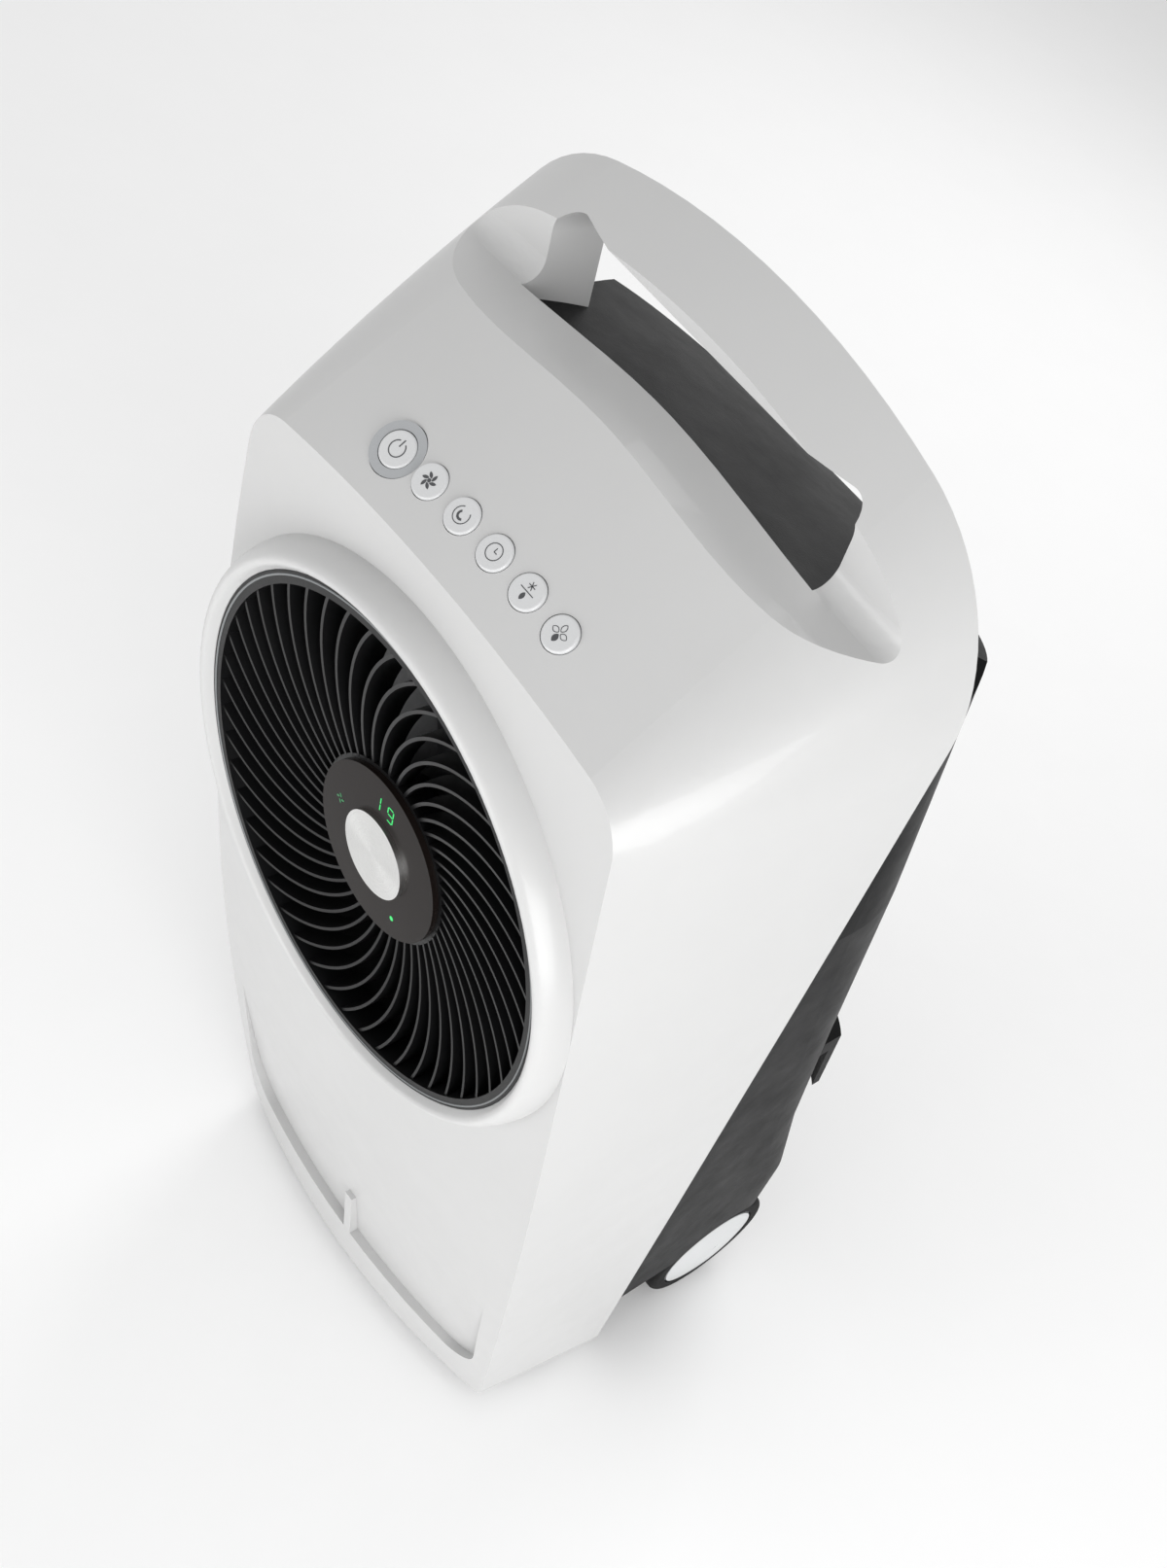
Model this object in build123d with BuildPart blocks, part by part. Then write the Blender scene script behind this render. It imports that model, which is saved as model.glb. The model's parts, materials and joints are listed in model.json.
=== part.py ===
"""Evaporative air cooler: white front with a swirl grille and an arch, black rear housing, drawer tank."""

import os
from math import atan2, cos, radians, sin

from build123d import *

os.makedirs("parts", exist_ok=True)

# Overall body, with the front at -Y, the floor at Z = 0 and the parting plane of the two shells at Y = 0
body_half_width = 150.0
body_height = 680.0
wall = 3.0
floor_gap = 10.0
joint_gap = 0.3
fit_clearance = 0.05

# Front shell outline at three stations along Y
nose_y = -150.0
nose_foot, nose_waist, nose_brow, nose_brow_z, nose_crown_z, nose_corner = 129.0, 140.5, 107.0, 562.0, 569.0, 14.0
mid_y = -62.0
mid_foot, mid_waist, mid_brow, mid_brow_z, mid_crown_z, mid_corner = 142.0, 146.5, 138.0, 611.0, 637.0, 62.0
arch_brow, arch_brow_z, arch_corner = 149.0, 646.0, 80.0
waist_z = 200.0
foot_corner = 9.0

# Front face: how far forward its middle and its edges stand at four heights
face_half = 160.0
foot_face_z, foot_face_mid, foot_face_edge = 0.0, -105.0, -82.0
low_face_z, low_face_mid, low_face_edge = 180.0, -119.0, -109.0
chest_face_z, chest_face_mid, chest_face_edge = 400.0, -130.0, -128.0
top_face_z, top_face_mid, top_face_edge = 700.0, -124.0, -121.0

# Hollow in the lower front, deepest at the lip and run out towards the grille
scoop_half, scoop_bottom, scoop_top, scoop_corner = 128.0, 47.0, 260.0, 26.0
scoop_foot_depth, scoop_low_depth, scoop_chest_depth, scoop_top_depth = 9.0, -1.0, -12.0, -30.0
tongue_width, tongue_top, tongue_x = 7.0, 98.0, 3.0

# Grille opening and its bezel
grille_z = 436.0
opening_radius = 120.0
bezel_radius = 131.0
bezel_front = -145.0
bezel_crest = 124.5
rim_y = -141.0
collar_back = -96.0
collar_wall = 3.0

# Swirl vanes
vane_count = 48
vane_thickness = 1.5
vane_outer, vane_inner = 114.5, 43.5
vane_sweep = 28.0
ring_depth = 18.0
hub_dish = 10.0
hub_wall = 2.5

# Display hub
display_radius = 41.6
display_y = -134.0
display_thickness = 3.0
disc_radius = 20.6
disc_thickness = 2.2

# Carrying slot under the arch
slot_half, slot_top, slot_end_radius = 88.0, 657.0, 11.5
slot_front_edge = -37.0
saddle_middle_z, saddle_slot_z, saddle_side_z, saddle_side_x = 634.0, 626.0, 626.0, 152.0
saddle_back, saddle_front, saddle_root = -27.0, -90.0, 9.0
post_floor = 575.0

# Control panel
button_count = 6
button_pitch = 19.9
button_radius = 7.2
power_radius = 7.6
power_ring_radius = 11.4
button_proud = 0.9
button_y = -113.0
switch_depth = 16.0
board_thickness = 1.6
board_half, board_depth = 64.0, 18.0
post_radius, post_reach = 3.5, 6.0
flange_radius, flange_depth, flange_thickness = 8.6, 4.4, 1.2
stem_radius, stem_depth = 2.6, 10.0
switch_side, switch_body = 6.0, 3.8
plunger_radius, plunger_height = 1.6, 0.9

# Rear housing plan at six heights: rear face, and how far the corners reach along X and Y
shoulder_half, shoulder_bottom = 145.0, 520.0
rear_crown_z = body_height - 40
rear_half, rear_crown_side = 149.2, 572.0
rear_skirt_z, rear_skirt_y, rear_skirt_cx, rear_skirt_cy = 80.0, 143.0, 32.0, 34.0
rear_bulge_z, rear_bulge_y, rear_bulge_cx, rear_bulge_cy = 145.0, 143.0, 34.0, 36.0
rear_waist_z, rear_waist_y, rear_waist_cx, rear_waist_cy = 225.0, 124.0, 46.0, 48.0
rear_chest_z, rear_chest_y, rear_chest_cx, rear_chest_cy = 335.0, 112.0, 66.0, 66.0
rear_high_z, rear_high_y, rear_high_cx, rear_high_cy = 470.0, 101.0, 96.0, 88.0
rear_top_z, rear_top_y, rear_top_cx, rear_top_cy, rear_top_half = 640.0, 86.0, 116.0, 76.0, 130.0
roof_front_z, roof_mid_y, roof_mid_z, roof_rear_y, roof_rear_z = 624.0, 30.0, 603.0, 92.0, 568.0

# Rear intake
intake_half, intake_bottom, intake_top, intake_corner = 88.0, 262.0, 540.0, 12.0
intake_wall = 4.0
slat_count, slat_gap = 15, 9.0
latch_length, latch_width, latch_thickness, latch_boss = 40.0, 14.0, 6.0, 8.0
hook_x0, hook_x1, hook_low, hook_high, hook_root = 122.0, 136.0, 240.0, 300.0, 14.0
hook_reach, hook_throat = 8.0, 4.5
gland_x, gland_z, gland_radius, gland_reach, cord_bore = -104.0, 243.0, 7.5, 5.0, 3.4

# Tank drawer and what stands in it
tank_half, tank_front, tank_top, tank_wall = 108.0, -78.0, 214.0, 2.5
tank_face_half, tank_face_top = 110.0, 219.0
pump_radius, pump_height, pump_x, pump_y = 21.0, 46.0, 84.0, -48.0
spigot_radius, spigot_z = 5.0, 203.0

# Base and running gear
deck_z, deck_thickness = 80.0, 3.0
tank_bottom = deck_z + deck_thickness + joint_gap
wheel_radius, wheel_width, wheel_y, wheel_outer_x = 50.0, 26.0, 95.0, 146.5
rim_radius, cap_radius, cap_dome = 39.0, 37.5, 3.5
axle_radius = 4.0
axle_end_x = 144.0
bracket_outer_x, bracket_thickness, bracket_half, bracket_low = 112.0, 12.0, 13.0, 36.0
arch_gap, arch_inner_x, arch_lining = 3.0, 113.0, 2.0
foot_radius, foot_x, foot_y = 13.0, 92.0, -60.0

# Fan
shroud_radius = 117.0
fan_tip, fan_hub_radius, fan_blades = 111.0, 27.0, 7
fan_front, fan_back = -104.0, -66.0
motor_radius, motor_front, motor_back = 36.0, -52.0, -8.0
shaft_radius = 4.0
screw_count, screw_radius, screw_head, screw_head_height = 4, 1.9, 3.6, 2.4
shroud_screw_ring, motor_screw_ring = 125.5, 26.0

# Wet section
pad_half, pad_bottom, pad_top, pad_front, pad_back = 98.0, 268.0, 528.0, 14.0, 52.0
cassette_wall = 3.0
tray_height = 20.0
drip_height = 26.0
hose_radius = 4.5
hose_x, hose_y = 128.0, -84.0


def front_plane(y, z=0.0):
    """Plane across the body at y, drawn as seen from the front; it extrudes towards the front."""
    return Plane(origin=(0, y, z), x_dir=(1, 0, 0), z_dir=(0, -1, 0))


def outline(y, foot, waist, brow, brow_z, crown_z, corner, inset):
    """Shield outline of the front shell at one station."""
    low = floor_gap + inset
    with BuildSketch(front_plane(y)) as sketch:
        with BuildLine():
            side = ThreePointArc(
                (foot - inset, low),
                (waist - inset, waist_z),
                (brow - inset, brow_z - inset),
            )
            crown = ThreePointArc(side @ 1, (0, crown_z - inset), (inset - brow, brow_z - inset))
            far = ThreePointArc(crown @ 1, (inset - waist, waist_z), (inset - foot, low))
            Line(far @ 1, side @ 0)
        make_face()
        fillet(sketch.vertices().group_by(Axis.Y)[0], foot_corner)
        fillet(sketch.vertices().group_by(Axis.Y)[-1], corner - inset)
    return sketch.sketch


def shield(inset):
    """Solid between the shield outlines, from the nose back to the parting plane."""
    with BuildPart() as form:
        add(outline(nose_y, nose_foot, nose_waist, nose_brow, nose_brow_z, nose_crown_z, nose_corner, inset))
        add(outline(mid_y, mid_foot, mid_waist, mid_brow, mid_brow_z, mid_crown_z, mid_corner, inset))
        add(outline(0, body_half_width, body_half_width + 0.4, arch_brow, arch_brow_z, body_height, arch_corner, inset))
        loft()
    return form.part


def face_section(z, mid, edge):
    """Plan section of everything behind the front face at one height."""
    with BuildSketch(Plane.XY.offset(z)) as sketch:
        with BuildLine():
            bow = ThreePointArc((-face_half, edge), (0, mid), (face_half, edge))
            Polyline(bow @ 1, (face_half, 40), (-face_half, 40), bow @ 0)
        make_face()
    return sketch.sketch


def face_form(foot, low, chest, top):
    """Solid behind the front face, set back by a depth at each of the four heights."""
    with BuildPart() as form:
        add(face_section(foot_face_z, foot_face_mid + foot, foot_face_edge + foot))
        add(face_section(low_face_z, low_face_mid + low, low_face_edge + low))
        add(face_section(chest_face_z, chest_face_mid + chest, chest_face_edge + chest))
        add(face_section(top_face_z, top_face_mid + top, top_face_edge + top))
        loft()
    return form.part


def disc(radius, y_back, y_front, inner=0.0):
    """Disc or ring on the grille axis between two stations."""
    with BuildPart() as piece:
        with BuildSketch(front_plane(y_back, grille_z)):
            Circle(radius)
            if inner:
                Circle(inner, mode=Mode.SUBTRACT)
        extrude(amount=y_back - y_front)
    return piece.part


def block(x0, x1, y0, y1, z0, z1):
    """Plain box between six limits."""
    with BuildPart() as piece:
        with BuildSketch(Plane(origin=((x0 + x1) / 2, (y0 + y1) / 2, z0))):
            Rectangle(x1 - x0, y1 - y0)
        extrude(amount=z1 - z0)
    return piece.part


def keep(piece, name):
    """Label the finished piece and write it."""
    piece.label = name
    export_step(piece, f"parts/{name}.step")


# Shared forms
outer_front = shield(0) & face_form(0, 0, 0, 0)
inner_front = shield(wall) & face_form(wall + scoop_foot_depth, wall + 2, wall, wall)


def panel_point(x, y):
    """Point of the control panel above a plan position."""
    hits = outer_front.find_intersection_points(Axis((x, y, body_height), (0, 0, -1)))
    return max((hit[0] for hit in hits), key=lambda point: point.Z)


# Line of the panel through the button row, which also sets the push direction
row_point = panel_point(0, button_y)
row_above = panel_point(0, button_y + 12)
panel_slope = atan2(row_above.Z - row_point.Z, row_above.Y - row_point.Y)
push_axis = Vector(0, -sin(panel_slope), cos(panel_slope))


def button_plane(index, depth=0.0):
    """Plane square to the push direction at one button, sunk by a depth."""
    x = (index - (button_count - 1) / 2) * button_pitch
    seat = panel_point(x, button_y)
    return Plane(origin=seat - push_axis * depth, x_dir=(1, 0, 0), z_dir=push_axis)


def board_plane(depth):
    """Plane under the panel at the middle of the row, sunk by a depth."""
    return Plane(origin=row_point - push_axis * depth, x_dir=(1, 0, 0), z_dir=push_axis)


# Hollow between the control panel and the carrying arch
with BuildPart() as saddle:
    with BuildSketch(front_plane(saddle_back)):
        with BuildLine():
            saddle_floor = Spline(
                (-saddle_side_x, saddle_side_z),
                (-slot_half, saddle_slot_z),
                (0, saddle_middle_z),
                (slot_half, saddle_slot_z),
                (saddle_side_x, saddle_side_z),
            )
            Polyline(
                saddle_floor @ 1,
                (saddle_side_x, body_height + 20),
                (-saddle_side_x, body_height + 20),
                saddle_floor @ 0,
            )
        make_face()
    extrude(amount=saddle_back - saddle_front)
    fillet(saddle.edges().filter_by(GeomType.BSPLINE).sort_by(Axis.Y)[-1], saddle_root)

# Front shell
with BuildPart() as front_shell:
    add(outer_front)
    add(saddle.part, mode=Mode.SUBTRACT)
    with BuildSketch(Plane.YZ) as bezel_profile:
        with BuildLine():
            crest = Spline(
                (rim_y, grille_z + opening_radius),
                (bezel_front, grille_z + bezel_crest),
                (rim_y + 4, grille_z + bezel_radius - 1),
                (rim_y + 14, grille_z + bezel_radius),
            )
            Polyline(
                crest @ 1,
                (collar_back, grille_z + bezel_radius),
                (collar_back, grille_z + opening_radius),
                crest @ 0,
            )
        make_face()
    revolve(axis=Axis((0, 0, grille_z), (0, 1, 0)))
    with BuildSketch(front_plane(-60)) as scoop:
        with Locations((0, (scoop_bottom + scoop_top) / 2)):
            RectangleRounded(2 * scoop_half, scoop_top - scoop_bottom, scoop_corner)
    scoop_tool = extrude(amount=100, mode=Mode.PRIVATE)
    scoop_floor = face_form(scoop_foot_depth, scoop_low_depth, scoop_chest_depth, scoop_top_depth)
    tongue_room = block(tongue_x - tongue_width / 2, tongue_x + tongue_width / 2, -140, -60, 0, tongue_top)
    add(scoop_tool - scoop_floor - tongue_room, mode=Mode.SUBTRACT)
    below_posts = block(-200, 200, -200, 60, 0, post_floor)
    below_roof = block(-slot_half, slot_half, -200, slot_front_edge - wall, 0, saddle_slot_z - 2 * wall)
    collar = disc(opening_radius + collar_wall, collar_back, nose_y, opening_radius)
    add(inner_front & (below_posts + below_roof) - collar, mode=Mode.SUBTRACT)
    add(disc(opening_radius, collar_back - 1, nose_y - 20), mode=Mode.SUBTRACT)
    with BuildSketch(front_plane(20)):
        with Locations((0, (post_floor + slot_top) / 2)):
            RectangleRounded(2 * slot_half, slot_top - post_floor, slot_end_radius)
    extrude(amount=20 - slot_front_edge, mode=Mode.SUBTRACT)
    add(
        block(-slot_half, slot_half, slot_front_edge, 30, post_floor - 60, saddle_slot_z),
        mode=Mode.SUBTRACT,
    )
    for index in range(button_count):
        bore = (power_ring_radius if index == 0 else button_radius) + joint_gap
        with BuildSketch(button_plane(index, wall + 4)):
            Circle(bore)
        extrude(amount=wall + 12, mode=Mode.SUBTRACT)
    for side in (-1, 1):
        with BuildSketch(board_plane(switch_depth)):
            with Locations((side * board_half, 0)):
                Circle(post_radius)
        extrude(amount=switch_depth - post_reach)
keep(front_shell.part, "front_shell")



def rod_x(radius, x0, x1, y, z, inner=0.0):
    """Cylinder or tube along X."""
    with BuildPart() as piece:
        with BuildSketch(Plane(origin=(x0, y, z), x_dir=(0, 1, 0), z_dir=(1, 0, 0))):
            Circle(radius)
            if inner:
                Circle(inner, mode=Mode.SUBTRACT)
        extrude(amount=x1 - x0)
    return piece.part


def rod_z(radius, x, y, z0, z1, inner=0.0):
    """Upright cylinder or tube."""
    with BuildPart() as piece:
        with BuildSketch(Plane(origin=(x, y, z0))):
            Circle(radius)
            if inner:
                Circle(inner, mode=Mode.SUBTRACT)
        extrude(amount=z1 - z0)
    return piece.part


def rear_section(z, y, reach_x, reach_y, inset, width=rear_half):
    """Plan of the rear housing at one height, with elliptical corners."""
    half, back = width - inset, y - inset
    with BuildSketch(Plane.XY.offset(z)) as sketch:
        with BuildLine():
            right = EllipticalCenterArc(
                (half - reach_x, back - reach_y),
                reach_x,
                reach_y,
                start_angle=0,
                arc_size=90,
            )
            left = EllipticalCenterArc(
                (reach_x - half, back - reach_y),
                reach_x,
                reach_y,
                start_angle=90,
                arc_size=90,
            )
            Line(right @ 1, left @ 0)
            Polyline(left @ 1, (-half, 0), (half, 0), right @ 0)
        make_face()
    return sketch.sketch


def rear_form(inset):
    """Rear housing before its roof is cut."""
    with BuildPart() as form:
        add(rear_section(rear_skirt_z, rear_skirt_y, rear_skirt_cx, rear_skirt_cy, inset))
        add(rear_section(rear_bulge_z, rear_bulge_y, rear_bulge_cx, rear_bulge_cy, inset))
        add(rear_section(rear_waist_z, rear_waist_y, rear_waist_cx, rear_waist_cy, inset))
        add(rear_section(rear_chest_z, rear_chest_y, rear_chest_cx, rear_chest_cy, inset))
        add(rear_section(rear_high_z, rear_high_y, rear_high_cx, rear_high_cy, inset))
        add(rear_section(rear_top_z, rear_top_y, rear_top_cx, rear_top_cy, inset, rear_top_half))
        loft(ruled=True)
    return form.part


def under_roof(inset):
    """Everything below the sloping rear roof."""
    with BuildPart() as form:
        with BuildSketch(Plane.YZ):
            with BuildLine():
                roof = ThreePointArc(
                    (slot_front_edge - 20, roof_front_z - inset),
                    (roof_mid_y, roof_mid_z - inset),
                    (roof_rear_y + 12, roof_rear_z - inset),
                )
                Polyline(
                    roof @ 1,
                    (220, roof_rear_z - inset),
                    (220, -10),
                    (slot_front_edge - 20, -10),
                    roof @ 0,
                )
            make_face()
        extrude(amount=200, both=True)
    return form.part


def under_crown(inset):
    """Everything below the arc that rounds the rear shoulders."""
    with BuildPart() as form:
        with BuildSketch(front_plane(220)):
            with BuildLine():
                side = (rear_half, rear_crown_side - inset)
                crown = ThreePointArc((-side[0], side[1]), (0, rear_crown_z - inset), side)
                Polyline(crown @ 1, (rear_half, -10), (-rear_half, -10), crown @ 0)
            make_face()
        extrude(amount=300)
    return form.part


def rear_shape(inset):
    """Rear housing form with its roof and its rounded shoulders."""
    return rear_form(inset) & under_roof(inset) & under_crown(inset)


rear_outer = rear_shape(0)
rear_inner = rear_shape(wall)
rear_inner_clear = rear_shape(wall + joint_gap)
front_inner_clear = shield(wall + joint_gap) & face_form(
    wall + scoop_foot_depth + 1,
    wall + 3,
    wall + 1,
    wall + 1,
)

latch_z = tank_face_top + latch_length / 2 - 6
latch_low = Axis((0, 200, latch_z - latch_length / 2), (0, -1, 0))
latch_y = max(hit[0].Y for hit in rear_outer.find_intersection_points(latch_low)) + joint_gap


def rod_y(radius, x, z, y0, y1, inner=0.0):
    """Cylinder or tube along Y."""
    with BuildPart() as piece:
        with BuildSketch(front_plane(y1)):
            with Locations((x, z)):
                Circle(radius)
                if inner:
                    Circle(inner, mode=Mode.SUBTRACT)
        extrude(amount=y1 - y0)
    return piece.part


# Rear housing
with BuildPart() as rear_housing:
    add(rear_outer)
    add(rear_inner, mode=Mode.SUBTRACT)
    shoulder = block(
        -shoulder_half,
        shoulder_half,
        0,
        wall,
        shoulder_bottom,
        body_height,
    ) & under_roof(0) & under_crown(0)
    add(shoulder - rear_inner)
    neck = block(
        joint_gap - slot_half,
        slot_half - joint_gap,
        slot_front_edge + joint_gap,
        1,
        post_floor - 4,
        rear_crown_z,
    )
    add(neck & under_roof(0))
    add(rod_y(latch_boss, 0, latch_z, latch_y - 20, latch_y - joint_gap) - rear_inner)
    add(block(-intake_half, intake_half, 40, 160, intake_bottom, intake_top), mode=Mode.SUBTRACT)
    add(block(-tank_face_half - 1, tank_face_half + 1, 60, 160, 0, tank_face_top + 1), mode=Mode.SUBTRACT)
    for x0, x1 in ((-160, -arch_inner_x), (arch_inner_x, 160)):
        add(rod_x(wheel_radius + arch_gap, x0, x1, wheel_y, wheel_radius), mode=Mode.SUBTRACT)
keep(rear_housing.part, "rear_housing")

# Intake panel: a curved grille that fills the rear opening
with BuildPart() as intake_panel:
    add(
        rear_outer
        & block(
            joint_gap - intake_half,
            intake_half - joint_gap,
            40,
            160,
            intake_bottom + joint_gap,
            intake_top - joint_gap,
        )
    )
    add(rear_shape(intake_wall), mode=Mode.SUBTRACT)
    slat_pitch = (intake_top - intake_bottom - 30) / slat_count
    for index in range(slat_count):
        low = intake_bottom + 15 + (index + 0.5) * slat_pitch - slat_gap / 2
        for x0, x1 in ((-intake_half + 12, -4), (4, intake_half - 12)):
            add(block(x0, x1, 40, 160, low, low + slat_gap), mode=Mode.SUBTRACT)
keep(intake_panel.part, "intake_panel")

# Dust filter behind the intake panel
with BuildPart() as dust_filter:
    filter_zone = block(10 - intake_half, intake_half - 10, 40, 160, intake_bottom + 10, intake_top - 10)
    add(rear_shape(intake_wall + joint_gap) & filter_zone)
    add(rear_shape(intake_wall + joint_gap + 2), mode=Mode.SUBTRACT)
keep(dust_filter.part, "dust_filter")

# Chassis: deck across both shells, box on the front floor, axle brackets and wheel arches
with BuildPart() as chassis:
    deck_slab = block(-200, 200, -140, 118, deck_z, deck_z + deck_thickness)
    add((rear_inner_clear + front_inner_clear) & deck_slab)
    add(block(-foot_x - 12, foot_x + 12, foot_y - 18, -8, floor_gap + wall, deck_z))
    add(block(-foot_x - 9, foot_x + 9, foot_y - 15, -11, floor_gap + 2 * wall, deck_z), mode=Mode.SUBTRACT)
    for side in (-1, 1):
        inner_x, outer_x = bracket_outer_x - bracket_thickness, bracket_outer_x
        x0, x1 = sorted((side * inner_x, side * outer_x))
        add(block(x0, x1, wheel_y - bracket_half, wheel_y + bracket_half, bracket_low, deck_z + 1))
        a0, a1 = sorted((side * arch_inner_x, side * (rear_half - wall - 1)))
        c0, c1 = sorted((side * arch_inner_x, side * 160))
        lining = rod_x(
            wheel_radius + arch_gap,
            a0,
            a1,
            wheel_y,
            wheel_radius,
            wheel_radius + arch_gap - arch_lining,
        )
        add(rod_x(wheel_radius + arch_gap - arch_lining, c0, c1, wheel_y, wheel_radius), mode=Mode.SUBTRACT)
        add(lining & rear_inner_clear & block(-200, 200, 0, 118, deck_z, 200))
        e0, e1 = sorted((side * (arch_inner_x - arch_lining), side * arch_inner_x))
        add(
            rod_x(wheel_radius + arch_gap, e0, e1, wheel_y, wheel_radius)
            & rear_inner_clear
            & block(-200, 200, 0, 118, deck_z, 200)
        )
    add(rod_x(axle_radius + fit_clearance, -200, 200, wheel_y, wheel_radius), mode=Mode.SUBTRACT)
keep(chassis.part, "chassis")

# Axle, spacers and wheels
keep(rod_x(axle_radius, -axle_end_x, axle_end_x, wheel_y, wheel_radius), "axle")
wheel_inner_x = wheel_outer_x - wheel_width
hub_bore = axle_radius + 0.1
with BuildPart() as axle_spacers:
    for side in (-1, 1):
        x0, x1 = sorted((side * (bracket_outer_x + joint_gap), side * (wheel_inner_x - joint_gap)))
        add(rod_x(axle_radius + 4, x0, x1, wheel_y, wheel_radius, hub_bore))
keep(axle_spacers.part, "axle_spacers")
for side, name in ((-1, "left"), (1, "right")):
    x0, x1 = sorted((side * wheel_inner_x, side * wheel_outer_x))
    with BuildPart() as tyre:
        add(rod_x(wheel_radius, x0, x1, wheel_y, wheel_radius, rim_radius))
        fillet(tyre.edges().filter_by(GeomType.CIRCLE).group_by(SortBy.RADIUS)[-1], 5)
    keep(tyre.part, f"tyre_{name}")
    r0, r1 = sorted((side * wheel_inner_x, side * (wheel_outer_x - 2)))
    with BuildPart() as rim:
        add(rod_x(rim_radius, r0, r1, wheel_y, wheel_radius, hub_bore))
        for index in range(6):
            turn = radians(60 * index)
            add(
                rod_x(
                    7,
                    side * wheel_inner_x,
                    side * (wheel_inner_x + 16),
                    wheel_y + 24 * cos(turn),
                    wheel_radius + 24 * sin(turn),
                ),
                mode=Mode.SUBTRACT,
            )
    keep(rim.part, f"rim_{name}")
    with BuildPart() as cap:
        with BuildSketch(Plane.XY):
            with BuildLine():
                base_x, crest_x = wheel_outer_x - 2, wheel_outer_x + cap_dome
                crest = ThreePointArc(
                    (crest_x, 0),
                    (crest_x - 0.6, cap_radius * 0.55),
                    (wheel_outer_x, cap_radius),
                )
                Polyline(crest @ 1, (base_x, cap_radius), (base_x, 0), crest @ 0)
            make_face()
        revolve(axis=Axis.X)
    dome = cap.part if side > 0 else cap.part.mirror(Plane.YZ)
    keep(dome.moved(Location((0, wheel_y, wheel_radius))), f"cap_{name}")

# Front feet
with BuildPart() as feet:
    for side in (-1, 1):
        add(rod_z(foot_radius, side * foot_x, foot_y, 0, floor_gap))
    chamfer(feet.edges().group_by(Axis.Z)[0], 1.5)
keep(feet.part, "feet")

# Vane grille: outer ring, hub cup and the swirl of vanes
with BuildPart() as vane:
    with BuildSketch(front_plane(-118, grille_z)):
        with BuildLine():
            start = Vector(vane_inner - 1, 0).rotate(Axis.Z, vane_sweep)
            middle = Vector((vane_inner + vane_outer) / 2, 0).rotate(Axis.Z, vane_sweep * 0.55)
            path = ThreePointArc(start, middle, (vane_outer + 1, 0))
        trace(line_width=vane_thickness)
    extrude(amount=30)
with BuildPart() as dish:
    with BuildSketch(Plane.YZ):
        with BuildLine():
            Polyline(
                (rim_y + ring_depth, grille_z + vane_inner - 1),
                (rim_y + hub_dish, grille_z + vane_inner - 1),
                (rim_y + 1, grille_z + vane_outer + 1),
                (rim_y + ring_depth, grille_z + vane_outer + 1),
                close=True,
            )
        make_face()
    revolve(axis=Axis((0, 0, grille_z), (0, 1, 0)))
blade = vane.part & dish.part
grille_axis = Axis((0, 0, grille_z), (0, 1, 0))
with BuildPart() as vane_grille:
    add(disc(opening_radius - joint_gap, rim_y + ring_depth, rim_y, vane_outer))
    add(disc(vane_inner, rim_y + ring_depth + 4, display_y + display_thickness, vane_inner - hub_wall))
    add(disc(vane_inner, rim_y + ring_depth + 4, rim_y + ring_depth + 2))
    add([blade.rotate(grille_axis, index * 360 / vane_count) for index in range(vane_count)])
keep(vane_grille.part, "vane_grille")
display_back = display_y + display_thickness
keep(disc(display_radius, display_back, display_y), "display_lens")
keep(disc(disc_radius, display_y, display_y - disc_thickness), "metal_disc")
cup_floor = rim_y + ring_depth + 2
keep(disc(vane_inner - hub_wall - joint_gap, cup_floor, cup_floor - 2), "display_board")

# Fan shroud with its motor arms
with BuildPart() as fan_shroud:
    add(disc(opening_radius - joint_gap, fan_back, rim_y + ring_depth + joint_gap, shroud_radius))
    add(disc(bezel_radius - 1, collar_back + 3, collar_back, shroud_radius))
    for index in range(4):
        arm = block(-5, 5, motor_front - 8, motor_front, grille_z, grille_z + shroud_radius + 1)
        add(arm.rotate(grille_axis, 45 + 90 * index))
    add(disc(opening_radius - joint_gap, motor_front, fan_back, shroud_radius))
    add(disc(motor_radius, motor_front, motor_front - 8))
    add(disc(12, motor_front + 1, motor_front - 9), mode=Mode.SUBTRACT)
    for index in range(screw_count):
        turn = radians(90 * index)
        place = (shroud_screw_ring * cos(turn), grille_z + shroud_screw_ring * sin(turn))
        add(
            rod_y(screw_radius + fit_clearance, *place, collar_back - 1, collar_back + 4),
            mode=Mode.SUBTRACT,
        )
        place = (motor_screw_ring * cos(turn), grille_z + motor_screw_ring * sin(turn))
        add(
            rod_y(screw_radius + fit_clearance, *place, motor_front - 9, motor_front + 1),
            mode=Mode.SUBTRACT,
        )
keep(fan_shroud.part, "fan_shroud")

# Motor, shaft, fan and nut
with BuildPart() as fan_motor:
    add(disc(motor_radius, motor_back, motor_front, shaft_radius + fit_clearance))
    fillet(fan_motor.edges().filter_by(GeomType.CIRCLE).group_by(SortBy.RADIUS)[-1], 4)
keep(fan_motor.part, "fan_motor")
nut_front = fan_front - 9
with BuildPart() as impeller:
    add(disc(fan_hub_radius, fan_back, fan_front))
    for index in range(fan_blades):
        with BuildPart() as wing:
            middle_y = (fan_front + fan_back) / 2
            for reach, chord, pitch in ((fan_hub_radius - 3, 36, 48), (fan_tip - 2, 66, 26)):
                section = Plane(
                    origin=(0, middle_y, grille_z + reach),
                    x_dir=(cos(radians(pitch)), sin(radians(pitch)), 0),
                    z_dir=(0, 0, 1),
                )
                with BuildSketch(section):
                    Rectangle(chord, 2.4)
            loft(ruled=True)
        add(wing.part.rotate(grille_axis, index * 360 / fan_blades))
    add(disc(shaft_radius, fan_back + 1, fan_front - 1), mode=Mode.SUBTRACT)
keep(impeller.part, "impeller")
keep(disc(shaft_radius - fit_clearance, motor_back - 4, fan_front - 6), "motor_shaft")
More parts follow.
